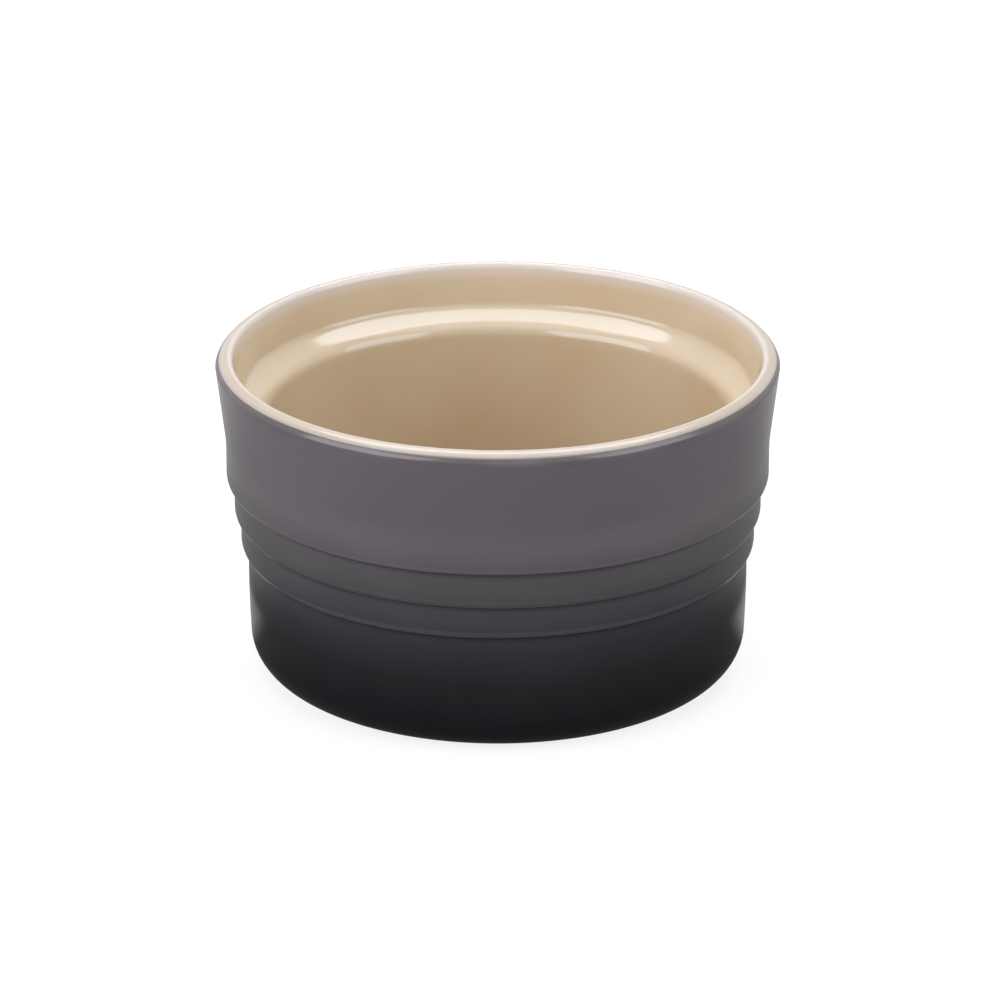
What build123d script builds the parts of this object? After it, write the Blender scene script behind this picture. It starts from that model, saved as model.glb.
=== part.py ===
"""Stacking ramekin in glazed stoneware: one fired clay body under three separate coats of glaze.

Millimetres, +Z up. The origin is on the pot's axis, in the plane that its foot ring stands on. Every piece
is a solid of revolution: a section in the XZ plane, turned about Z. The points named over_ lie on the glazed
surface and those named under_ on the clay below it. The clay and its coats are drawn through the same under_
points, so each coat lies face to face on the clay. A point of a section is its radius and its height.
"""

import os
from math import asin, cos, degrees, hypot, radians, sin

from build123d import *

os.makedirs("parts", exist_ok=True)

# Overall, over the glaze
rim_diameter = 90.0
height = 52.5

# Outside, from the foot up: a straight wall, two rings, a band and a flare to the rim. An overhang is how far
# the foot of a ring or of the band stands out past what is below it. Each of them widens just above its foot
# and is straight from there up.
wall_height = 20.55
lower_ring_height = 5.45
upper_ring_height = 6.05
band_height = 6.6
lower_ring_overhang = 0.6
upper_ring_overhang = 0.5
band_overhang = 0.9
lower_ring_widening = 0.5
upper_ring_widening = 0.5
band_widening = 0.3
widening_height = 2.0
flare_widening = 1.5
corner_radius = 6.3

# Rim: its outer side is rounded up to the crown, with the line between the two colours part of the way, and
# its inner side is eased. The angles are taken above the horizontal, from the centre of the rounding.
rim_thickness = 2.75
rim_rounding = 2.2
rim_start_angle = 18.0
glaze_line_angle = 45.0
lip_drop = 0.8

# Inside: a collar that clears the wall of the pot stacked above, a sloping ledge and shoulder that seat its
# rounded corner, then the well and the floor
stacking_clearance = 0.9
collar_depth = 7.2
ledge_fall = 1.55
shoulder_width = 1.4
shoulder_fall = 2.15
wall_thickness = 3.4
cove_radius = 7.0
floor_height = 5.0

# Foot ring, which is wiped clean of glaze, and the glazed recess inside it
foot_ring_width = 2.6
foot_bare_height = 0.5
recess_depth = 1.3

# Thickness of a coat of fired glaze
coat = 0.4

# Radii of the outside, from the rim down
rim_radius = rim_diameter / 2
band_radius = rim_radius - flare_widening
band_foot_radius = band_radius - band_widening
upper_ring_radius = band_foot_radius - band_overhang
upper_ring_foot_radius = upper_ring_radius - upper_ring_widening
lower_ring_radius = upper_ring_foot_radius - upper_ring_overhang
lower_ring_foot_radius = lower_ring_radius - lower_ring_widening
wall_radius = lower_ring_foot_radius - lower_ring_overhang
foot_outer_radius = wall_radius - corner_radius
foot_inner_radius = foot_outer_radius - foot_ring_width

# Heights of the outside, from the foot up
upper_ring_foot_height = wall_height + lower_ring_height
band_foot_height = upper_ring_foot_height + upper_ring_height
flare_foot_height = band_foot_height + band_height

# Radii and heights of the inside
rim_inner_radius = rim_radius - rim_thickness
collar_foot_radius = wall_radius + stacking_clearance
collar_foot_height = height - collar_depth
well_radius = wall_radius - wall_thickness
ledge_radius = well_radius + shoulder_width
ledge_height = collar_foot_height - ledge_fall
well_top_height = ledge_height - shoulder_fall


def on_circle(centre, radius, angle):
    """The point of a circle at this angle in degrees above the horizontal."""
    turn = radians(angle)
    return (centre[0] + radius * cos(turn), centre[1] + radius * sin(turn))


def under(before, corner, after):
    """The clay's corner below a corner of the glaze, so that the coat is as thick on both sides of it."""
    ways = []
    for start, end in ((before, corner), (corner, after)):
        run, rise = end[0] - start[0], end[1] - start[1]
        ways.append((rise / hypot(run, rise), -run / hypot(run, rise)))
    (first_r, first_z), (second_r, second_z) = ways
    share = coat / (1 + first_r * second_r + first_z * second_z)
    return (corner[0] - share * (first_r + second_r), corner[1] - share * (first_z + second_z))


# The rounded corner between the wall and the foot. The glaze follows it as an arc down to where it was wiped
# off, and the clay below it is turned in flats.
corner_centre = (foot_outer_radius, corner_radius)
glaze_stop_angle = degrees(asin(foot_bare_height / corner_radius - 1))
over_glaze_stop = on_circle(corner_centre, corner_radius, glaze_stop_angle)
under_corner = [
    on_circle(corner_centre, corner_radius - coat, angle)
    for angle in (glaze_stop_angle, glaze_stop_angle / 2, 0)
]

# Up the outside, from the wall to the foot of the flare. Each ring and the band are given by the height and
# radius of their foot, the radius of what stands below it and the radius that they widen to.
overhangs = [
    (wall_height, lower_ring_foot_radius, wall_radius, lower_ring_radius),
    (upper_ring_foot_height, upper_ring_foot_radius, lower_ring_radius, upper_ring_radius),
    (band_foot_height, band_foot_radius, upper_ring_radius, band_radius),
]
over_outside = []
under_outside = []
for edge_height, edge_radius, radius_below, side_radius in overhangs:
    side_height = edge_height + widening_height
    over_outside += [(radius_below, edge_height), (edge_radius, edge_height), (side_radius, side_height)]
    under_outside += [(radius_below - coat, edge_height + coat), (edge_radius - coat, edge_height + coat)]
    under_outside += [(side_radius - coat, side_height)]
over_outside += [(band_radius, flare_foot_height)]
under_outside += [(band_radius - coat, flare_foot_height)]

# The rim's rounding reaches its full height at the crown and its full radius where the flare meets it
rim_centre = (rim_radius - rim_rounding * cos(radians(rim_start_angle)), height - rim_rounding)
over_rim_start = on_circle(rim_centre, rim_rounding, rim_start_angle)
over_glaze_line = on_circle(rim_centre, rim_rounding, glaze_line_angle)
under_rim_start = on_circle(rim_centre, rim_rounding - coat, rim_start_angle)
under_glaze_line = on_circle(rim_centre, rim_rounding - coat, glaze_line_angle)

# From the crown down the inside to the top of the cove. The clay goes straight from the crown to the foot of
# the collar, so the glaze is thicker at the lip, and from there on it follows each corner of the glaze.
over_inside = [
    (rim_centre[0], height),
    (rim_inner_radius, height - lip_drop),
    (collar_foot_radius, collar_foot_height),
    (ledge_radius, ledge_height),
    (well_radius, well_top_height),
    (well_radius, floor_height + cove_radius),
]
under_inside = [(rim_centre[0], height - coat)]
under_inside += [under(*over_inside[i - 1 : i + 2]) for i in (2, 3, 4)]

# The cove between the well and the floor. The clay's flats stay outside the arc of the glaze, so that the
# coat is nowhere thinner than it should be.
cove_centre = (well_radius - cove_radius, floor_height + cove_radius)
cove_flat_half_angle = 15.0
under_cove = [
    on_circle(cove_centre, (cove_radius + coat) / cos(radians(cove_flat_half_angle)), angle)
    for angle in (-cove_flat_half_angle, -3 * cove_flat_half_angle, -5 * cove_flat_half_angle)
]

# The fired clay: foot ring, corner, wall, rings, band, flare, rim, collar, ledge, well and floor in one piece
with BuildPart() as stoneware_body:
    with BuildSketch(Plane.XZ):
        with BuildLine():
            Polyline(
                (0, recess_depth + coat),
                (foot_inner_radius, recess_depth + coat),
                (foot_inner_radius, 0),
                (foot_outer_radius, 0),
                *under_corner,
                *under_outside,
                under_rim_start,
                under_glaze_line,
                *under_inside,
                *under_cove,
                (0, floor_height - coat),
                close=True,
            )
        make_face()
    revolve(axis=Axis.Z)

# The grey coat on the outside, from just above the foot to the line on the rim
with BuildPart() as outer_glaze:
    with BuildSketch(Plane.XZ):
        with BuildLine():
            CenterArc(corner_centre, corner_radius, glaze_stop_angle, -glaze_stop_angle)
            Polyline((wall_radius, corner_radius), *over_outside, over_rim_start)
            CenterArc(rim_centre, rim_rounding, rim_start_angle, glaze_line_angle - rim_start_angle)
            Polyline(
                over_glaze_line,
                under_glaze_line,
                under_rim_start,
                *reversed(under_outside),
                *reversed(under_corner),
                over_glaze_stop,
            )
        make_face()
    revolve(axis=Axis.Z)

# The cream coat on the inside, from the same line over the rim to the collar, ledge, well and floor
with BuildPart() as inner_glaze:
    with BuildSketch(Plane.XZ):
        with BuildLine():
            CenterArc(rim_centre, rim_rounding, glaze_line_angle, 90 - glaze_line_angle)
            Polyline(*over_inside)
            CenterArc(cove_centre, cove_radius, 0, -90)
            Polyline(
                (cove_centre[0], floor_height),
                (0, floor_height),
                (0, floor_height - coat),
                *reversed(under_cove),
                *reversed(under_inside),
                under_glaze_line,
                over_glaze_line,
            )
        make_face()
    revolve(axis=Axis.Z)

# The coat on the ceiling of the recess inside the foot ring
with BuildPart() as base_glaze:
    with BuildSketch(Plane.XY.offset(recess_depth)):
        Circle(foot_inner_radius)
    extrude(amount=coat)

pieces = {
    "stoneware_body": stoneware_body,
    "outer_glaze": outer_glaze,
    "inner_glaze": inner_glaze,
    "base_glaze": base_glaze,
}
for name, piece in pieces.items():
    piece.part.label = name
    export_step(piece.part, f"parts/{name}.step")
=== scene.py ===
"""A stacking ramekin in glazed stoneware, standing on a white studio table.

The pot is one turned form, so each piece of it is a lathe surface: a section of radii and heights, rounded at
its corners, carried round the Z axis. Sizes are in millimetres and become metres when a mesh is made.
"""

import logging
import math
from dataclasses import dataclass, field
from enum import Enum
from typing import Any, Sequence

import bpy
import numpy as np
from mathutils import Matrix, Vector


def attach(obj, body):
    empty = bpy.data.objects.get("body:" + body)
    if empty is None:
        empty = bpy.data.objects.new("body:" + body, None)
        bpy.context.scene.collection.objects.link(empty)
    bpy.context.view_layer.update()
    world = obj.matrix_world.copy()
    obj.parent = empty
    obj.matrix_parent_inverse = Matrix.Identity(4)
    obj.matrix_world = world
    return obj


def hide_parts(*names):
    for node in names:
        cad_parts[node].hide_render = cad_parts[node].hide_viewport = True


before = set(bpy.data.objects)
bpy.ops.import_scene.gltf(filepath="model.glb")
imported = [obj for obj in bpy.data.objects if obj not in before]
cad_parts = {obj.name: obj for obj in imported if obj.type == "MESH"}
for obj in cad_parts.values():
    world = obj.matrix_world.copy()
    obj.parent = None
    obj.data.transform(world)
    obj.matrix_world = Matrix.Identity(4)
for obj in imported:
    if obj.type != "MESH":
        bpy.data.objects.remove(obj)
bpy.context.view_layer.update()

log = logging.getLogger("ramekin")

MM = 0.001
BODY = "root"
WHITE = "#ffffff"

# A corner that turns by less than this, in radians, is left as it is, and two points of a section that are
# closer than this, in millimetres, are one
STRAIGHT = 1e-4
DOUBLED = 1e-5

# Keeps a direction from being divided by a length of nothing
TINY = 1e-9

# Nearly all values of a noise texture lie between these two
NOISE_SPAN = (0.3, 0.7)


def linear(hex_colour: str) -> tuple[float, float, float, float]:
    """Turn an sRGB hex colour into linear RGBA.

    Args:
        hex_colour: six hex digits after a hash, such as "#60585f".

    Returns:
        Linear red, green and blue with an alpha of 1.
    """
    channels = [int(hex_colour[i : i + 2], 16) / 255 for i in (1, 3, 5)]
    red, green, blue = (c / 12.92 if c <= 0.04045 else ((c + 0.055) / 1.055) ** 2.4 for c in channels)
    return red, green, blue, 1.0


def add_node(
    tree: bpy.types.NodeTree, kind: str, inputs: dict[Any, Any] | None = None, **settings: Any
) -> Any:
    """Add a node with its settings, its values and its links.

    Args:
        tree: the node tree that it goes into.
        kind: the node's type name.
        inputs: input name or number to an output socket, which is linked, or to a value.
        settings: attributes of the node itself.

    Returns:
        The new node.
    """
    made = tree.nodes.new(kind)
    for name, value in settings.items():
        setattr(made, name, value)
    for key, value in (inputs or {}).items():
        if isinstance(value, bpy.types.NodeSocket):
            tree.links.new(value, made.inputs[key])
        else:
            made.inputs[key].default_value = value
    return made


def new_material(name: str) -> tuple[bpy.types.Material, bpy.types.NodeTree]:
    """Make an empty node material and return it with its tree."""
    material = bpy.data.materials.new(name)
    material.use_nodes = True
    material.node_tree.nodes.clear()
    return material, material.node_tree


def set_stops(ramp: bpy.types.ColorRamp, stops: Sequence[tuple[float, tuple[float, ...]]]) -> None:
    """Give a colour ramp its stops.

    Args:
        ramp: the ramp, which comes with two stops.
        stops: the position and the linear RGBA of each stop, in rising order.
    """
    for count, (position, colour) in enumerate(stops):
        element = ramp.elements[count] if count < 2 else ramp.elements.new(position)
        element.position = position
        element.color = colour


def millimetre_place(tree: bpy.types.NodeTree) -> Any:
    """Add the nodes that give a point's own place on the pot in millimetres, and return their output."""
    place = add_node(tree, "ShaderNodeTexCoord").outputs["Object"]
    return add_node(tree, "ShaderNodeVectorMath", {0: place, "Scale": 1 / MM}, operation="SCALE").outputs[0]


def ray_tests(tree: bpy.types.NodeTree) -> tuple[Any, Any]:
    """Add the tests of where a ray comes from.

    Args:
        tree: the tree of a material or of the world.

    Returns:
        The output that is 1 for a ray from the camera, and the one that is 1 for a ray mirrored by the glaze.
    """
    path = add_node(tree, "ShaderNodeLightPath").outputs
    kinds = {0: path["Is Glossy Ray"], 1: path["Is Transmission Ray"]}
    mirrored = add_node(tree, "ShaderNodeMath", kinds, operation="MAXIMUM")
    return path["Is Camera Ray"], mirrored.outputs[0]


@dataclass(frozen=True)
class Grain:
    """A surface's fine unevenness: how wide and how deep it is in millimetres, how strongly it is felt, and
    how many finer ripples lie over the widest ones.
    """

    width: float
    depth: float
    strength: float
    detail: float

    def raise_on(self, tree: bpy.types.NodeTree, place: Any) -> tuple[Any, Any]:
        """Add the unevenness to a material.

        Args:
            tree: the material's tree.
            place: the output with the point in millimetres.

        Returns:
            The outputs with the ripples' height, from 0 to 1, and with the bumped normal.
        """
        ripples = {"Vector": place, "Scale": 1 / self.width, "Detail": self.detail}
        height = add_node(tree, "ShaderNodeTexNoise", ripples).outputs["Fac"]
        felt = {"Height": height, "Strength": self.strength, "Distance": self.depth * MM}
        return height, add_node(tree, "ShaderNodeBump", felt).outputs[0]


class Closure(Enum):
    """How a section closes: RING goes round a hole, AXIS starts and ends on the axis of the pot."""

    RING = "ring"
    AXIS = "axis"


@dataclass(frozen=True)
class Corner:
    """A corner of a section in millimetres: radius, height and the radius of its rounding."""

    r: float
    z: float
    rounding: float = 0.0


def arc(
    centre: tuple[float, float], radii: tuple[float, float], start: float, end: float, step: float = 5.0
) -> np.ndarray:
    """Points along an ellipse: its centre plus its two radii times the cosine and sine of even angles.

    Args:
        centre: radius and height of the ellipse's centre.
        radii: the ellipse's own radii, level and upright. They are the same for a circle.
        start: first angle in degrees above the horizontal.
        end: last angle.
        step: largest angle between neighbours.

    Returns:
        An array of (radius, height) rows.
    """
    count = max(2, int(math.ceil(abs(end - start) / step)) + 1)
    turn = np.radians(np.linspace(start, end, count))
    return np.column_stack([centre[0] + radii[0] * np.cos(turn), centre[1] + radii[1] * np.sin(turn)])


def rounded(corners: Sequence[Corner], step: float = 6.0) -> np.ndarray:
    """A path through corners, each replaced by the arc that touches both of its sides.

    The arc leaves a side at rounding / tan(half the corner's angle) from the corner, and its centre is at
    rounding / sin(half the angle) along the bisector. In between, its spokes are the sum of the first spoke
    and the last, each weighted by the sine of its share of the turn over the sine of the whole turn.

    Args:
        corners: the path's corners, of which the first and last stay sharp.
        step: largest turn in degrees between neighbouring points.

    Returns:
        An array of (radius, height) rows.
    """
    points = np.array([(c.r, c.z) for c in corners])
    parts = [points[:1]]
    for before, here, after, corner in zip(points, points[1:], points[2:], corners[1:]):
        back = (before - here) / np.linalg.norm(before - here)
        ahead = (after - here) / np.linalg.norm(after - here)
        half = math.acos(float(np.clip(back @ ahead, -1, 1))) / 2
        turn = math.pi - 2 * half
        if corner.rounding == 0 or turn < STRAIGHT:
            parts.append(here[None])
            continue
        bisector = (back + ahead) / np.linalg.norm(back + ahead)
        centre = here + bisector * corner.rounding / math.sin(half)
        reach = corner.rounding / math.tan(half)
        first = here + back * reach - centre
        last = here + ahead * reach - centre
        share = np.linspace(0, 1, max(3, int(math.ceil(math.degrees(turn) / step)) + 1))[:, None]
        spokes = np.sin((1 - share) * turn) * first + np.sin(share * turn) * last
        parts.append(centre + spokes / math.sin(turn))
    parts.append(points[-1:])
    return np.concatenate(parts)


def spread(path: np.ndarray, pitch: float) -> np.ndarray:
    """Put points on the straight stretches of a path, evenly spaced, at most a pitch apart.

    A stretch gets as many parts as its length over the pitch, rounded up.

    Args:
        path: rows of (radius, height).
        pitch: largest distance between neighbours.

    Returns:
        The path with the added points, without doubled ones.
    """
    lengths = np.linalg.norm(np.diff(path, axis=0), axis=1)
    path = path[np.concatenate([[True], lengths > DOUBLED])]
    lengths = np.linalg.norm(np.diff(path, axis=0), axis=1)
    counts = np.maximum(1, np.ceil(lengths / pitch).astype(int))
    along = np.concatenate([[0.0], np.cumsum(lengths)])
    owner = np.repeat(np.arange(len(counts)), counts)
    share = np.concatenate([np.arange(n) / n for n in counts])
    at = np.append(along[owner] + share * lengths[owner], along[-1])
    return np.column_stack([np.interp(at, along, path[:, 0]), np.interp(at, along, path[:, 1])])


@dataclass(frozen=True)
class PotSizes:
    """The pot's sizes in millimetres and degrees, over the glaze unless a comment says otherwise."""

    # Overall
    rim_radius: float = 45.0
    height: float = 52.5

    # The wall, which bellies a little between the foot's corner and the lower ring
    wall_foot_radius: float = 39.96
    wall_belly_radius: float = 40.26
    wall_belly_height: float = 13.5
    wall_belly_rounding: float = 150.0
    wall_top_radius: float = 40.16
    wall_height: float = 20.55

    # The two rings, the band and the flare above it, each with the height of its foot, its radius there and
    # its radius further up
    lower_ring_foot_radius: float = 40.9
    lower_ring_radius: float = 41.32
    upper_ring_foot_height: float = 26.0
    upper_ring_foot_radius: float = 41.9
    upper_ring_radius: float = 42.3
    band_foot_height: float = 32.05
    band_foot_radius: float = 43.3
    band_radius: float = 43.52
    flare_foot_height: float = 38.6
    flare_rounding: float = 20.0

    # The form of a ring's edge, in heights from the ring's foot: the underside rises out of a groove that is
    # this far below, the edge itself is lifted by this, and further up it eases into the ring's side
    underside_drop: float = 0.5
    groove_rounding: float = 0.3
    edge_lift: float = -0.05
    edge_rounding: float = 1.2
    easing_height: float = 0.75
    easing_rounding: float = 1.6

    # The rim's outer side, with the line between the two colours, and the lip on its inner side, which is an
    # arc of an ellipse
    rim_rounding: float = 2.2
    rim_start_angle: float = 18.0
    glaze_line_angle: float = 43.0
    lip_radius: float = 42.16
    lip_width: float = 0.72
    lip_drop: float = 1.3
    lip_end_angle: float = 170.0

    # The inside: the collar, the ledge and its shoulder, the well and the floor
    collar_foot_radius: float = 41.1
    collar_foot_height: float = 45.35
    collar_fillet: float = 1.4
    well_radius: float = 36.8
    shoulder_height: float = 43.0
    shoulder_rounding: float = 2.7
    cove_radius: float = 7.0
    floor_height: float = 5.0

    # The foot, which is bare of glaze, and the recess inside it
    corner_radius: float = 6.2
    foot_ring_width: float = 2.6
    foot_bare_height: float = 0.5
    foot_edge: float = 0.35
    recess_depth: float = 1.3

    # The thickness of a coat of glaze
    coat: float = 0.4

    @property
    def corner_centre(self) -> tuple[float, float]:
        """Centre of the rounded corner between the wall and the foot."""
        return self.wall_foot_radius - self.corner_radius, self.corner_radius

    @property
    def foot_inner_radius(self) -> float:
        """Inner radius of the foot ring."""
        return self.corner_centre[0] - self.foot_ring_width

    @property
    def rim_centre(self) -> tuple[float, float]:
        """Centre of the rounding on the rim's outer side, which starts at the rim's full radius."""
        out = self.rim_rounding * math.cos(math.radians(self.rim_start_angle))
        return self.rim_radius - out, self.height - self.rim_rounding

    @property
    def glaze_stop_angle(self) -> float:
        """Angle on the foot's corner at which the glaze was wiped off.

        Its sine is the bare height over the corner's radius, less 1.
        """
        return math.degrees(math.asin(self.foot_bare_height / self.corner_radius - 1))

    def foot_corner(self, depth: float) -> np.ndarray:
        """The corner's arc from the glaze's edge up to the wall, this deep below the glazed surface."""
        return arc(self.corner_centre, (self.corner_radius - depth,) * 2, self.glaze_stop_angle, 0)

    def outside(self, depth: float) -> np.ndarray:
        """The outside from the top of the foot's corner to the start of the rim's rounding.

        Args:
            depth: how far below the glazed surface, 0 for the glaze or the coat's thickness for the clay.

        Returns:
            Rows of (radius, height).
        """
        steps = (
            (self.wall_top_radius, self.wall_height, self.lower_ring_foot_radius, self.lower_ring_radius),
            (
                self.lower_ring_radius,
                self.upper_ring_foot_height,
                self.upper_ring_foot_radius,
                self.upper_ring_radius,
            ),
            (self.upper_ring_radius, self.band_foot_height, self.band_foot_radius, self.band_radius),
        )
        corners = [
            Corner(self.wall_foot_radius - depth, self.corner_radius),
            Corner(self.wall_belly_radius - depth, self.wall_belly_height, self.wall_belly_rounding),
        ]
        for below, height, edge, side in steps:
            corners += [
                Corner(below - depth, height + depth - self.underside_drop, self.groove_rounding),
                Corner(edge - depth, height + depth + self.edge_lift, self.edge_rounding),
                Corner(side - depth, height + depth + self.easing_height, self.easing_rounding),
            ]
        corners += [
            Corner(self.band_radius - depth, self.flare_foot_height, self.flare_rounding),
            Corner(*self.rim_outer(depth)[0]),
        ]
        return rounded(corners)

    def rim_outer(self, depth: float) -> np.ndarray:
        """The grey part of the rim's rounding, up to the line between the two colours."""
        radius = self.rim_rounding - depth
        return arc(self.rim_centre, (radius, radius), self.rim_start_angle, self.glaze_line_angle)

    def rim_inner(self, depth: float) -> np.ndarray:
        """The cream part of the rim's rounding, from the line to the crown."""
        radius = self.rim_rounding - depth
        return arc(self.rim_centre, (radius, radius), self.glaze_line_angle, 90)

    def inside(self, depth: float) -> np.ndarray:
        """The inside from the crown over the lip, collar, ledge, well and cove to the middle of the floor.

        Args:
            depth: how far below the glazed surface, 0 for the glaze or the coat's thickness for the clay.

        Returns:
            Rows of (radius, height).
        """
        lip = arc(
            (self.lip_radius + self.lip_width, self.height - self.lip_drop),
            (self.lip_width - depth, self.lip_drop - depth),
            90,
            self.lip_end_angle,
        )
        well = self.well_radius + depth
        below = rounded(
            [
                Corner(*lip[-1]),
                Corner(
                    self.collar_foot_radius + depth,
                    self.collar_foot_height - depth,
                    self.collar_fillet + depth,
                ),
                Corner(well, self.shoulder_height - depth, self.shoulder_rounding - depth),
                Corner(well, self.floor_height - depth, self.cove_radius + depth),
                Corner(0, self.floor_height - depth),
            ]
        )
        return np.concatenate([lip, below[1:]])


@dataclass(frozen=True)
class Wander:
    """How far the turned form wanders off the true circle as it dries and is fired, in millimetres.

    The phases, in radians, shift the waves, so that no two of them rise and fall together.
    """

    radial: float = 0.05
    radial_phase: float = 1.7
    rim_drop: float = 0.08
    rim_phase: float = 0.6
    rim_power: int = 6
    line_wave: float = 0.07
    line_width: float = 1.5
    line_phase: float = 2.3
    orders: tuple[int, ...] = (2, 3, 5, 8, 13, 21, 34)

    def wave(self, angles: np.ndarray, phase: float) -> np.ndarray:
        """A sum of cosines round the pot, with orders that share no period, within -1 and 1.

        Each is weighted by 1 over the square root of its order, so the long waves are the strong ones.

        Args:
            angles: angles round the pot in radians.
            phase: shifts the waves, so that two heights differ.

        Returns:
            One value for each angle.
        """
        orders = np.array(self.orders)
        weights = 1 / np.sqrt(orders)
        phases = phase * np.arange(1, len(orders) + 1) ** 2
        waves = np.cos(orders[:, None] * angles + phases[:, None])
        return (weights[:, None] * waves).sum(0) / weights.sum()

    def bend(
        self, r: np.ndarray, z: np.ndarray, angles: np.ndarray, sizes: PotSizes
    ) -> tuple[np.ndarray, np.ndarray]:
        """Move a grid of points inward, down at the rim, and up and down at the rings' edges.

        The move inward grows with the height. The one down grows with the height's share of the pot's height
        to the rim power. Each edge has its own wave, which fades as a bell curve above and below it.

        Args:
            r: radii, one row for each point of the section and one column for each angle.
            z: heights, in the same grid.
            angles: the columns' angles in radians.
            sizes: the pot's sizes.

        Returns:
            The new radii and heights.
        """
        up = np.clip(z / sizes.height, 0, 1)
        outward = np.clip(r / sizes.well_radius, 0, 1)
        new_r = r - self.radial * up * outward * (1 + self.wave(angles, self.radial_phase))
        new_z = z - self.rim_drop * up**self.rim_power * (1 + self.wave(angles, self.rim_phase)) / 2
        edges = (sizes.wall_height, sizes.upper_ring_foot_height, sizes.band_foot_height)
        for count, edge in enumerate(edges):
            bell = np.exp(-(((z - edge) / self.line_width) ** 2))
            new_z = new_z + self.line_wave * bell * outward * self.wave(angles, self.line_phase + count)
        return new_r, new_z


def pooling(section: np.ndarray, blur: float = 0.5, closed: bool = True) -> np.ndarray:
    """How the molten glaze gathered on a section: the blurred outline less the outline, measured outwards.

    Glaze pulls off an edge and fills a hollow, so the surface of the melt is a blurred copy of the form below
    it. The blur is a bell curve over the distance along the outline.

    Args:
        section: rows of (radius, height), running with the material on its left.
        blur: width of the bell curve in millimetres.
        closed: whether the last point is followed by the first.

    Returns:
        Millimetres of gathered glaze at each point, below zero where the coat runs thin.
    """
    following = np.roll(section, -1, 0) - section
    if not closed:
        following[-1] = 0
    lengths = np.linalg.norm(following, axis=1)
    along = np.concatenate([[0.0], np.cumsum(lengths)[:-1]])
    total = lengths.sum()
    share = (lengths + np.roll(lengths, 1)) / 2
    gap = np.abs(along[:, None] - along)
    if closed:
        gap = np.minimum(gap, total - gap)
    weight = np.exp(-((gap / blur) ** 2) / 2) * share
    mean = (weight @ section) / weight.sum(1, keepdims=True)
    tangent = np.roll(section, -1, 0) - np.roll(section, 1, 0)
    tangent /= np.maximum(np.linalg.norm(tangent, axis=1, keepdims=True), TINY)
    outward = np.column_stack([tangent[:, 1], -tangent[:, 0]])
    return ((mean - section) * outward).sum(1)


@dataclass
class Lathe:
    """Carries a section round the Z axis and makes a closed mesh of it."""

    sizes: PotSizes
    wander: Wander
    around: int = 360

    def turn(self, name: str, section: np.ndarray, closure: Closure) -> bpy.types.Object:
        """Turn a section into a mesh object.

        A point is (r cos a, r sin a, z) for each row r, z of the section and each angle a. On a RING the last
        row joins the first, and on an AXIS section the first and last rows are single points.

        Args:
            name: the object's name.
            section: rows of (radius, height) in millimetres.
            closure: how the section closes.

        Returns:
            The object, with the attribute glaze_pool on its points.
        """
        ring = closure is Closure.RING
        following = np.roll(section, -1, 0)
        if (section[:, 0] * following[:, 1] - following[:, 0] * section[:, 1]).sum() < 0:
            section = section[::-1]
        gathered = pooling(section, closed=ring)
        angles = np.linspace(0, 2 * math.pi, self.around, endpoint=False)
        rows = section if ring else section[1:-1]
        r = np.repeat(rows[:, :1], self.around, 1)
        z = np.repeat(rows[:, 1:], self.around, 1)
        r, z = self.wander.bend(r, z, angles, self.sizes)
        grid = np.stack([r * np.cos(angles), r * np.sin(angles), z], -1).reshape(-1, 3)
        index = np.arange(len(rows) * self.around).reshape(len(rows), self.around)
        upper = np.roll(index, -1, 0) if ring else index[1:]
        lower = index if ring else index[:-1]
        quads = np.stack([lower, np.roll(lower, -1, 1), np.roll(upper, -1, 1), upper], -1).reshape(-1, 4)
        faces = quads.tolist()
        pool = np.repeat(gathered if ring else gathered[1:-1], self.around)
        if not ring:
            poles = np.array([(0, 0, section[0, 1]), (0, 0, section[-1, 1])])
            first, last = len(grid), len(grid) + 1
            grid = np.concatenate([grid, poles])
            pool = np.append(pool, gathered[[0, -1]])
            bottom, top = index[0], index[-1]
            faces += np.column_stack([np.full(self.around, first), np.roll(bottom, -1), bottom]).tolist()
            faces += np.column_stack([np.full(self.around, last), top, np.roll(top, -1)]).tolist()
        mesh = bpy.data.meshes.new(name)
        mesh.from_pydata((grid * MM).tolist(), [], faces)
        mesh.attributes.new("glaze_pool", "FLOAT", "POINT").data.foreach_set("value", pool.astype(np.float32))
        mesh.polygons.foreach_set("use_smooth", np.ones(len(faces), bool))
        mesh.update()
        made = bpy.data.objects.new(name, mesh)
        bpy.context.scene.collection.objects.link(made)
        return made


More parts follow.
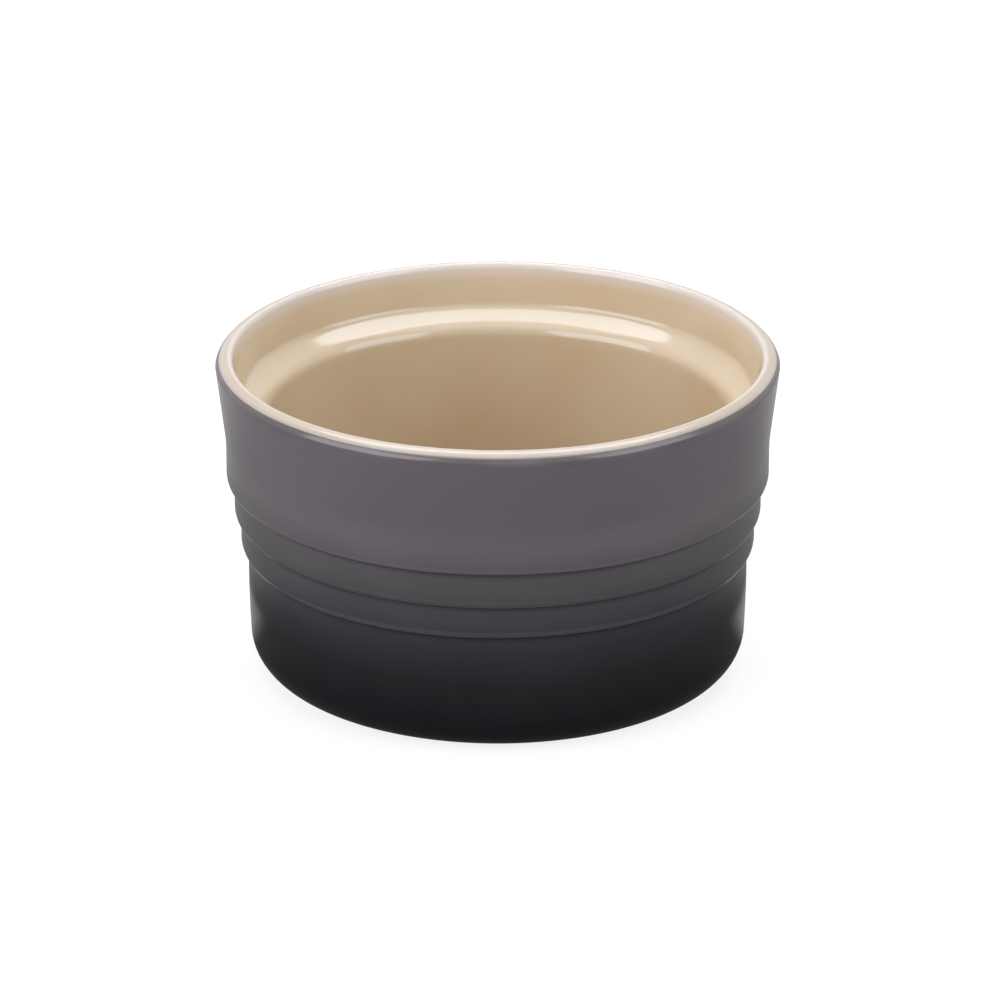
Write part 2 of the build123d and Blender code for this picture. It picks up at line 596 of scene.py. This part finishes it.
@dataclass(frozen=True)
class GraduatedSatinGlaze:
    """Stoneware glaze sprayed in two colours on the turning pot and fired to a satin surface.

    The two sprays overlap, so the charcoal of the foot fades softly and level into the mid grey above it. The
    coat runs thin over edges, where it breaks glassier and is lighter, partly for the thinner glaze and
    partly as a painted highlight of the table mirrored in the edges. In the grooves it is darker, partly for
    glaze that gathered there and partly as painted shade. Satin gives the eye a soft sheen, in which the
    lights have blurred edges.
    """

    name: str = "graduated_satin_stoneware_glaze"

    # The shade at each height in millimetres. At the top it browns, next to the line where the cream begins.
    shades: tuple[tuple[float, str], ...] = (
        (0.0, "#1a191d"),
        (6.0, "#1b1a1f"),
        (12.0, "#262529"),
        (17.0, "#343338"),
        (20.5, "#3f3e43"),
        (26.0, "#504d51"),
        (32.0, "#5f5b60"),
        (36.0, "#6a656a"),
        (50.4, "#6e676e"),
        (51.2, "#625a5d"),
        (52.5, "#5c5353"),
    )
    height: float = 52.5

    # The fade drifts up and down by this much, in patches as wide as a pass of the spray
    drift: float = 0.8
    mottle_mm: float = 14.0

    # Where the coat runs thin: its shade, lighter partly for the thinner glaze and partly as a painted
    # highlight of the table mirrored in the edges, the glaze_pool values between which that comes in, its
    # largest share, what it takes off the roughness and adds to the specular level, and the heights between
    # which it ends, below the rim
    thin_and_painted_light_shade: str = "#827c82"
    thin_and_painted_light_pools: tuple[float, float] = (-0.045, -0.085)
    thin_and_painted_light_share: float = 0.5
    thin_gloss: float = 0.12
    thin_specular: float = 1.0
    thin_and_painted_light_heights: tuple[float, float] = (46.0, 44.0)

    # Where the coat gathered: its shade, darker partly for the gathered glaze and partly as painted shade in
    # the grooves, the glaze_pool values between which that comes in and its share
    pooled_and_painted_shade: str = "#1c1b1f"
    pooled_and_painted_shade_pools: tuple[float, float] = (0.02, 0.16)
    pooled_and_painted_shade_share: float = 0.35

    # The melt's fine unevenness, as wide as four coats are thick and a twentieth of a coat deep
    peel: Grain = Grain(width=1.6, depth=0.02, strength=0.12, detail=2.0)
    roughness: float = 0.17
    roughness_spread: float = 0.03
    specular: float = 0.5
    ior: float = 1.5

    def material(self) -> bpy.types.Material:
        """Make the material and return it."""
        material, tree = new_material(self.name)
        place = millimetre_place(tree)
        z = add_node(tree, "ShaderNodeSeparateXYZ", {0: place}).outputs["Z"]
        pool = add_node(tree, "ShaderNodeAttribute", attribute_name="glaze_pool").outputs["Fac"]
        spans = (
            (pool, self.thin_and_painted_light_pools, self.thin_and_painted_light_share),
            (z, self.thin_and_painted_light_heights, 1.0),
            (pool, self.pooled_and_painted_shade_pools, self.pooled_and_painted_shade_share),
        )
        thinned, below_rim, pooled_and_shaded = [
            add_node(
                tree,
                "ShaderNodeMapRange",
                {"Value": value, "From Min": span[0], "From Max": span[1], "To Max": largest},
            ).outputs[0]
            for value, span, largest in spans
        ]
        # The thin share lightens the edges, partly for the thinner glaze and partly as a painted highlight.
        thin = add_node(tree, "ShaderNodeMath", {0: thinned, 1: below_rim}, operation="MULTIPLY").outputs[0]
        colour = self._fade(tree, place, z)
        # The gathered share darkens the grooves, partly for the glaze and partly as painted shade.
        for share, shade in ((thin, self.thin_and_painted_light_shade), (pooled_and_shaded, self.pooled_and_painted_shade)):
            layer = {"Factor": share, "A": colour, "B": linear(shade)}
            colour = add_node(tree, "ShaderNodeMix", layer, data_type="RGBA").outputs["Result"]
        self._finish(tree, place, colour, thin)
        return material

    def _fade(self, tree: bpy.types.NodeTree, place: Any, z: Any) -> Any:
        """Add the fade from one sprayed colour to the other.

        The shade is the one at the point's height plus the drift, as a share of the pot's height.

        Args:
            tree: the material's tree.
            place: the output with the point in millimetres.
            z: the output with its height.

        Returns:
            The output with the colour.
        """
        mottle = add_node(
            tree, "ShaderNodeTexNoise", {"Vector": place, "Scale": 1 / self.mottle_mm, "Detail": 3.0}
        )
        shift = add_node(
            tree,
            "ShaderNodeMapRange",
            {
                "Value": mottle.outputs["Fac"],
                "From Min": NOISE_SPAN[0],
                "From Max": NOISE_SPAN[1],
                "To Min": -self.drift,
                "To Max": self.drift,
            },
        )
        level = add_node(tree, "ShaderNodeMath", {0: z, 1: shift.outputs[0]}, operation="ADD")
        share = add_node(tree, "ShaderNodeMath", {0: level.outputs[0], 1: self.height}, operation="DIVIDE")
        ramp = add_node(tree, "ShaderNodeValToRGB", {0: share.outputs[0]})
        set_stops(ramp.color_ramp, [(height / self.height, linear(shade)) for height, shade in self.shades])
        return ramp.outputs[0]

    def _finish(self, tree: bpy.types.NodeTree, place: Any, colour: Any, thin: Any) -> None:
        """Add the melt's fine unevenness and the shader.

        The roughness is the satin's less the thin gloss times the thin share, and the specular level is the
        usual one plus the thin specular times the thin share.

        Args:
            tree: the material's tree.
            place: the output with the point in millimetres.
            colour: the output with the colour.
            thin: the output with the share by which the coat runs thin.
        """
        height, bumped = self.peel.raise_on(tree, place)
        satin = add_node(
            tree,
            "ShaderNodeMapRange",
            {
                "Value": height,
                "From Min": NOISE_SPAN[0],
                "From Max": NOISE_SPAN[1],
                "To Min": self.roughness - self.roughness_spread,
                "To Max": self.roughness + self.roughness_spread,
            },
        ).outputs[0]
        smoother, glassier = [
            add_node(
                tree, "ShaderNodeMath", {0: thin, 1: gain, 2: usual}, operation="MULTIPLY_ADD"
            ).outputs[0]
            for gain, usual in ((-self.thin_gloss, satin), (self.thin_specular, self.specular))
        ]
        shader = add_node(
            tree,
            "ShaderNodeBsdfPrincipled",
            {
                "Base Color": colour,
                "Roughness": smoother,
                "Specular IOR Level": glassier,
                "IOR": self.ior,
                "Normal": bumped,
            },
        )
        add_node(tree, "ShaderNodeOutputMaterial", {"Surface": shader.outputs[0]})


@dataclass(frozen=True)
class GlossCreamGlaze:
    """Stoneware glaze poured into the pot and fired to a full gloss.

    It is a warm cream, a little deeper in patches. On the rim it is greyer, partly for the thinner glaze and
    partly as painted shade where the rim faces the lights, and on the lip it is nearly white, a painted
    highlight.
    Gloss gives the eye sharp reflections, a little cooler in colour than the glaze.
    """

    name: str = "gloss_cream_stoneware_glaze"

    # Two near shades, mixed by a mottle as wide as a run of the pour, and the noise values between which the
    # warm one comes in
    shade: str = "#d0bea4"
    warm_shade: str = "#cbb597"
    warm_span: tuple[float, float] = (0.35, 0.75)
    mottle_mm: float = 18.0

    # Where the coat runs thin on the rim: its shade, greyer partly for the thinner glaze and partly as
    # painted shade, the glaze_pool values and the heights between which that comes in, and its roughness
    thin_and_painted_light_shade: str = "#b6aca4"
    thin_and_painted_light_pools: tuple[float, float] = (-0.03, -0.1)
    thin_and_painted_light_heights: tuple[float, float] = (47.0, 49.0)
    thin_roughness: float = 0.24

    # The lip: its nearly white shade, a painted highlight, and the radii and heights between which that comes
    # in
    painted_lip_highlight: str = "#dad0c9"
    lip_radii: tuple[float, float] = (43.3, 42.8)
    lip_heights: tuple[float, float] = (49.8, 51.8)

    # The melt's fine unevenness, wider than on the satin coat because a gloss melt runs further
    peel: Grain = Grain(width=3.0, depth=0.02, strength=0.1, detail=1.0)
    roughness: float = 0.1
    sheen_tint: str = "#e2f0ff"
    ior: float = 1.6

    def material(self) -> bpy.types.Material:
        """Make the material and return it."""
        material, tree = new_material(self.name)
        place = millimetre_place(tree)
        warmth, thin, lip = self._shares(tree, place)
        colour = linear(self.shade)
        # The thin layer is partly painted shade on the rim, and the lip's layer is a painted highlight.
        for share, shade in ((warmth, self.warm_shade), (thin, self.thin_and_painted_light_shade), (lip, self.painted_lip_highlight)):
            layer = {"Factor": share, "A": colour, "B": linear(shade)}
            colour = add_node(tree, "ShaderNodeMix", layer, data_type="RGBA").outputs["Result"]
        duller = add_node(
            tree,
            "ShaderNodeMapRange",
            {"Value": thin, "To Min": self.roughness, "To Max": self.thin_roughness},
        )
        shader = add_node(
            tree,
            "ShaderNodeBsdfPrincipled",
            {
                "Base Color": colour,
                "Roughness": duller.outputs[0],
                "IOR": self.ior,
                "Specular Tint": linear(self.sheen_tint),
                "Normal": self.peel.raise_on(tree, place)[1],
            },
        )
        add_node(tree, "ShaderNodeOutputMaterial", {"Surface": shader.outputs[0]})
        return material

    def _shares(self, tree: bpy.types.NodeTree, place: Any) -> tuple[Any, Any, Any]:
        """Add how far each of the other shades comes in.

        The warm share follows the mottle. The thin share, partly painted shade, is the product of one by the
        glaze_pool and one by the height, and the share of the lip's painted highlight is the product of one
        by the radius and one by the height.

        Args:
            tree: the material's tree.
            place: the output with the point in millimetres.

        Returns:
            The outputs with the warm share, the thin share and the share of the lip's painted highlight.
        """
        mottle = add_node(
            tree, "ShaderNodeTexNoise", {"Vector": place, "Scale": 1 / self.mottle_mm, "Detail": 2.0}
        )
        pool = add_node(tree, "ShaderNodeAttribute", attribute_name="glaze_pool").outputs["Fac"]
        axes = add_node(tree, "ShaderNodeSeparateXYZ", {0: place}).outputs
        level = add_node(tree, "ShaderNodeCombineXYZ", {"X": axes["X"], "Y": axes["Y"]})
        radius = add_node(tree, "ShaderNodeVectorMath", {0: level.outputs[0]}, operation="LENGTH")
        spans = (
            (mottle.outputs["Fac"], self.warm_span),
            (pool, self.thin_and_painted_light_pools),
            (axes["Z"], self.thin_and_painted_light_heights),
            (radius.outputs["Value"], self.lip_radii),
            (axes["Z"], self.lip_heights),
        )
        warmth, drawn, high, inward, upward = [
            add_node(
                tree, "ShaderNodeMapRange", {"Value": value, "From Min": span[0], "From Max": span[1]}
            ).outputs[0]
            for value, span in spans
        ]
        thin = add_node(tree, "ShaderNodeMath", {0: drawn, 1: high}, operation="MULTIPLY")
        lip = add_node(tree, "ShaderNodeMath", {0: inward, 1: upward}, operation="MULTIPLY")
        return warmth, thin.outputs[0], lip.outputs[0]


@dataclass(frozen=True)
class BiscuitStoneware:
    """Bare fired stoneware, where the glaze was wiped off with a sponge.

    It gives the eye a dry, buff surface without any shine, with grains of darker grog in it.
    """

    name: str = "bare_fired_stoneware"
    shade: str = "#c9b394"

    # The grog: its shade, how wide a grain of grit is, and the distances from a grain's middle, in shares of
    # that width, between which its shade comes in
    grog_shade: str = "#9c8463"
    grog_mm: float = 0.45
    grog_span: tuple[float, float] = (0.28, 0.1)

    # The surface between the grains is as coarse as they are, and a tenth as deep
    grain: Grain = Grain(width=0.45, depth=0.05, strength=0.5, detail=4.0)
    roughness: float = 0.85

    def material(self) -> bpy.types.Material:
        """Make the material and return it."""
        material, tree = new_material(self.name)
        place = millimetre_place(tree)
        grog = add_node(tree, "ShaderNodeTexVoronoi", {"Vector": place, "Scale": 1 / self.grog_mm})
        grit = add_node(
            tree,
            "ShaderNodeMapRange",
            {"Value": grog.outputs["Distance"], "From Min": self.grog_span[0], "From Max": self.grog_span[1]},
        )
        layer = {"Factor": grit.outputs[0], "A": linear(self.shade), "B": linear(self.grog_shade)}
        shader = add_node(
            tree,
            "ShaderNodeBsdfPrincipled",
            {
                "Base Color": add_node(tree, "ShaderNodeMix", layer, data_type="RGBA").outputs["Result"],
                "Roughness": self.roughness,
                "Normal": self.grain.raise_on(tree, place)[1],
            },
        )
        add_node(tree, "ShaderNodeOutputMaterial", {"Surface": shader.outputs[0]})
        return material


@dataclass
class Ramekin:
    """The pot: fired clay, a grey coat outside, a cream coat inside and a grey coat under the base.

    A section's points are the seen pitch apart where it shows and the hidden pitch apart where it doesn't, in
    millimetres.
    """

    sizes: PotSizes = field(default_factory=PotSizes)
    wander: Wander = field(default_factory=Wander)
    seen_pitch: float = 0.7
    hidden_pitch: float = 3.0

    def build(self) -> list[bpy.types.Object]:
        """Build and dress all four pieces, and return them."""
        grey = GraduatedSatinGlaze().material()
        cream = GlossCreamGlaze().material()
        clay = BiscuitStoneware().material()
        rows = (
            ("fired_clay_pot", self._clay(), Closure.AXIS, clay, "stoneware_body", "stoneware_clay"),
            ("grey_outer_coat", self._outer(), Closure.RING, grey, "outer_glaze", "grey_glaze"),
            ("cream_inner_coat", self._inner(), Closure.AXIS, cream, "inner_glaze", "cream_glaze"),
            ("grey_base_coat", self._base(), Closure.AXIS, grey, "base_glaze", "grey_glaze"),
        )
        return [self._piece(*row) for row in rows]

    def _piece(
        self,
        name: str,
        section: np.ndarray,
        closure: Closure,
        material: bpy.types.Material,
        node: str,
        slot: str,
    ) -> bpy.types.Object:
        """Turn one piece, dress it and stand it in for its node.

        Args:
            name: the piece's name.
            section: its rows of (radius, height) in millimetres.
            closure: how the section closes.
            material: what it is dressed in.
            node: the CAD node that it replaces.
            slot: not used.

        Returns:
            The piece.
        """
        piece = Lathe(self.sizes, self.wander).turn(name, section, closure)
        piece.data.materials.append(material)
        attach(piece, BODY)
        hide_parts(node)
        log.info("%s: %d faces, stands for %s", name, len(piece.data.polygons), node)
        return piece

    def _clay(self) -> np.ndarray:
        """The clay's section, from the recess round the foot and over the rim to the middle of the floor."""
        s = self.sizes
        foot = rounded(
            [
                Corner(0, s.recess_depth + s.coat),
                Corner(s.foot_inner_radius, s.recess_depth + s.coat),
                Corner(s.foot_inner_radius, 0, s.foot_edge),
                Corner(s.corner_centre[0], 0, s.foot_edge),
                Corner(*s.foot_corner(s.coat)[0]),
            ]
        )
        return np.concatenate(
            [
                spread(foot, self.seen_pitch),
                spread(s.foot_corner(s.coat), self.hidden_pitch),
                spread(s.outside(s.coat), self.hidden_pitch),
                spread(np.concatenate([s.rim_outer(s.coat), s.rim_inner(s.coat)]), self.hidden_pitch),
                spread(s.inside(s.coat), self.hidden_pitch),
            ]
        )

    def _outer(self) -> np.ndarray:
        """The grey coat's section: up over the glaze and back down along the clay."""
        s = self.sizes
        seen = np.concatenate([s.foot_corner(0), s.outside(0), s.rim_outer(0)])
        hidden = np.concatenate([s.foot_corner(s.coat), s.outside(s.coat), s.rim_outer(s.coat)])
        return np.concatenate([spread(seen, self.seen_pitch), spread(hidden[::-1], self.hidden_pitch)])

    def _inner(self) -> np.ndarray:
        """The cream coat's section: from the middle of the floor up to the line and back along the clay."""
        s = self.sizes
        seen = np.concatenate([s.rim_inner(0), s.inside(0)])
        hidden = np.concatenate([s.rim_inner(s.coat), s.inside(s.coat)])
        return np.concatenate([spread(seen[::-1], self.seen_pitch), spread(hidden, self.hidden_pitch)])

    def _base(self) -> np.ndarray:
        """The base coat's section: a disc that climbs a little up the foot ring, where the glaze gathered."""
        s = self.sizes
        low = s.recess_depth
        outline = rounded(
            [
                Corner(0, low),
                Corner(s.foot_inner_radius - s.foot_edge, low, s.foot_edge),
                Corner(s.foot_inner_radius, low - s.coat / 2),
                Corner(s.foot_inner_radius, low + s.coat),
                Corner(0, low + s.coat),
            ]
        )
        return spread(outline, self.seen_pitch)


@dataclass(frozen=True)
class Softbox:
    """A rectangular studio light in metres: its centre, what it faces, its sides and its brightness."""

    name: str
    centre: tuple[float, float, float]
    target: tuple[float, float, float]
    width: float
    depth: float
    radiance: float

    def place(self) -> bpy.types.Object:
        """Hang the light and return it. Its power is pi times its area times the radiance asked for."""
        light = bpy.data.lights.new(self.name, "AREA")
        light.shape = "RECTANGLE"
        light.size = self.width
        light.size_y = self.depth
        light.energy = math.pi * self.width * self.depth * self.radiance
        lamp = bpy.data.objects.new(self.name, light)
        lamp.location = self.centre
        aim = Vector(self.target) - Vector(self.centre)
        lamp.rotation_euler = aim.to_track_quat("-Z", "Y").to_euler()
        bpy.context.scene.collection.objects.link(lamp)
        return lamp


@dataclass
class Studio:
    """The table, the surroundings, the lights and the camera, in metres and degrees."""

    # The table, a hair below the foot so that the two planes are apart: its glow and its shade as the camera
    # sees them, and the shade that it bounces light back with
    table_half_side: float = 4.0
    table_drop: float = 0.02 * MM
    table_glow: float = 0.82
    table_shade: str = "#8c8c8e"
    table_bounce: str = "#a2a2a4"

    # How bright the glaze mirrors the table: pairs of a distance from the axis and a brightness. The slant
    # times y is added to the distance, so the pot's shade reaches further on its near side.
    glow_steps: tuple[tuple[float, float], ...] = (
        (0.04, 0.09),
        (0.066, 0.11),
        (0.084, 0.32),
        (0.1, 0.28),
        (0.13, 0.3),
        (0.2, 0.6),
    )
    glow_reach: float = 0.25
    shade_slant: float = 0.5

    # Light that falls past the pot onto the table close behind it, where the lower ring's edge mirrors it:
    # its brightness, the distances from the axis between which it ends and the y between which it begins
    spill_glow: float = 0.34
    spill_reach: tuple[float, float] = (0.059, 0.053)
    spill_start: tuple[float, float] = (0.003, 0.012)

    # Brightness of the even light from all round
    surroundings: float = 0.1

    # The camera as it was fitted to the photo, with the pixel column in which the pot's axis is
    camera_distance: float = 0.9
    camera_elevation: float = 21.99
    camera_aim_height: float = 0.02706
    camera_near: float = 0.01
    camera_far: float = 20.0
    focal_pixels: float = 5592.0
    frame_pixels: float = 1000.0
    axis_pixel: float = 497.75
    sensor_mm: float = 36.0

    lights: tuple[Softbox, ...] = (
        Softbox("top_softbox", (0.015, 0.49, 1.0), (0.015, 0.49, 0.0), 0.98, 0.62, 4.4),
        Softbox("ceiling_panel", (0.0, -0.35, 1.1), (0.0, -0.35, 0.0), 1.4, 1.0, 1.0),
        Softbox("left_softbox", (-1.15, -0.78, 0.62), (0.0, 0.0, 0.03), 1.45, 1.1, 3.4),
        Softbox("right_softbox", (1.23, -0.65, 0.62), (0.0, 0.0, 0.03), 1.2, 1.1, 2.7),
    )

    def build(self) -> None:
        """Set up everything round the pot."""
        self._table()
        self._world()
        for light in self.lights:
            light.place()
            log.info("light %s", light.name)
        self._camera()

    def _table(self) -> None:
        """Lay the flat table under the pot."""
        half = self.table_half_side
        z = -self.table_drop
        corners = [(-half, -half, z), (half, -half, z), (half, half, z), (-half, half, z)]
        mesh = bpy.data.meshes.new("studio_table")
        mesh.from_pydata(corners, [], [(0, 1, 2, 3)])
        table = bpy.data.objects.new("studio_table", mesh)
        bpy.context.scene.collection.objects.link(table)
        mesh.materials.append(self._laminate())

    def _laminate(self) -> bpy.types.Material:
        """White pressed laminate, which gives the eye an even matt ground with a soft shadow on it.

        The camera sees it glow up to white, less the pot's shadow. The glaze mirrors a glow of its own, and
        all other light bounces off it as off a plain matt surface.

        Returns:
            The material.
        """
        material, tree = new_material("white_table_laminate")
        shadowed = add_node(tree, "ShaderNodeBsdfDiffuse", {"Color": linear(self.table_shade)})
        glow = add_node(tree, "ShaderNodeEmission", {"Strength": self.table_glow})
        seen = add_node(tree, "ShaderNodeAddShader", {0: shadowed.outputs[0], 1: glow.outputs[0]})
        bounce = add_node(tree, "ShaderNodeBsdfDiffuse", {"Color": linear(self.table_bounce)})
        from_camera, from_glaze = ray_tests(tree)
        unseen = add_node(
            tree, "ShaderNodeMixShader", {0: from_glaze, 1: bounce.outputs[0], 2: self._mirrored(tree)}
        )
        mix = add_node(
            tree, "ShaderNodeMixShader", {0: from_camera, 1: unseen.outputs[0], 2: seen.outputs[0]}
        )
        add_node(tree, "ShaderNodeOutputMaterial", {"Surface": mix.outputs[0]})
        return material

    def _mirrored(self, tree: bpy.types.NodeTree) -> Any:
        """Add the glow that the glaze mirrors: the open table's by its steps, plus the spill behind the pot.

        Args:
            tree: the table's tree.

        Returns:
            The output with the glow.
        """
        place = add_node(tree, "ShaderNodeTexCoord").outputs["Object"]
        away = add_node(tree, "ShaderNodeVectorMath", {0: place}, operation="LENGTH").outputs["Value"]
        y = add_node(tree, "ShaderNodeSeparateXYZ", {0: place}).outputs["Y"]
        slanted = {0: y, 1: self.shade_slant, 2: away}
        reach = add_node(tree, "ShaderNodeMath", slanted, operation="MULTIPLY_ADD").outputs[0]
        share = add_node(tree, "ShaderNodeMath", {0: reach, 1: self.glow_reach}, operation="DIVIDE")
        fade = add_node(tree, "ShaderNodeValToRGB", {0: share.outputs[0]})
        set_stops(
            fade.color_ramp,
            [(distance / self.glow_reach, (glow, glow, glow, 1.0)) for distance, glow in self.glow_steps],
        )
        close = add_node(
            tree,
            "ShaderNodeMapRange",
            {"Value": away, "From Min": self.spill_reach[0], "From Max": self.spill_reach[1]},
        )
        behind = add_node(
            tree,
            "ShaderNodeMapRange",
            {
                "Value": y,
                "From Min": self.spill_start[0],
                "From Max": self.spill_start[1],
                "To Max": self.spill_glow,
            },
        )
        spill = add_node(
            tree, "ShaderNodeMath", {0: close.outputs[0], 1: behind.outputs[0]}, operation="MULTIPLY"
        )
        table = add_node(tree, "ShaderNodeEmission", {"Color": fade.outputs[0]})
        spilt = add_node(tree, "ShaderNodeEmission", {"Strength": spill.outputs[0]})
        return add_node(tree, "ShaderNodeAddShader", {0: table.outputs[0], 1: spilt.outputs[0]}).outputs[0]

    def _world(self) -> None:
        """A white background, also where the glaze mirrors it, and an even, dimmer light from all round."""
        world = bpy.data.worlds.new("studio_surroundings")
        bpy.context.scene.world = world
        world.use_nodes = True
        tree = world.node_tree
        tree.nodes.clear()
        from_camera, from_glaze = ray_tests(tree)
        shown = add_node(tree, "ShaderNodeMath", {0: from_camera, 1: from_glaze}, operation="MAXIMUM")
        white = add_node(tree, "ShaderNodeBackground", {"Color": linear(WHITE), "Strength": 1.0})
        room = add_node(tree, "ShaderNodeBackground", {"Color": linear(WHITE), "Strength": self.surroundings})
        mix = add_node(
            tree, "ShaderNodeMixShader", {0: shown.outputs[0], 1: room.outputs[0], 2: white.outputs[0]}
        )
        add_node(tree, "ShaderNodeOutputWorld", {"Surface": mix.outputs[0]})

    def _camera(self) -> None:
        """The photograph's camera: above the table in front of the pot, aimed at the pot's axis.

        The focal length in pixels becomes one in millimetres by the sensor's width over the frame's, and the
        shift moves the axis to its own pixel.
        """
        scene = bpy.context.scene
        data = bpy.data.cameras.new("studio_camera")
        data.sensor_width = self.sensor_mm
        data.lens = self.focal_pixels * self.sensor_mm / self.frame_pixels
        data.shift_x = (self.frame_pixels / 2 - self.axis_pixel) / self.frame_pixels
        data.clip_start = self.camera_near
        data.clip_end = self.camera_far
        camera = bpy.data.objects.new("studio_camera", data)
        lift = math.radians(self.camera_elevation)
        aim = Vector((0.0, 0.0, self.camera_aim_height))
        back = Vector((0.0, -math.cos(lift), math.sin(lift)))
        camera.location = aim + self.camera_distance * back
        camera.rotation_euler = (-back).to_track_quat("-Z", "Y").to_euler()
        scene.collection.objects.link(camera)
        scene.camera = camera
        scene.view_settings.view_transform = "Standard"


def main() -> None:
    """Build the studio and the pot."""
    logging.basicConfig(level=logging.INFO, format="%(name)s: %(message)s")
    Studio().build()
    Ramekin().build()
    bpy.context.view_layer.update()


if __name__ == "__main__":
    main()
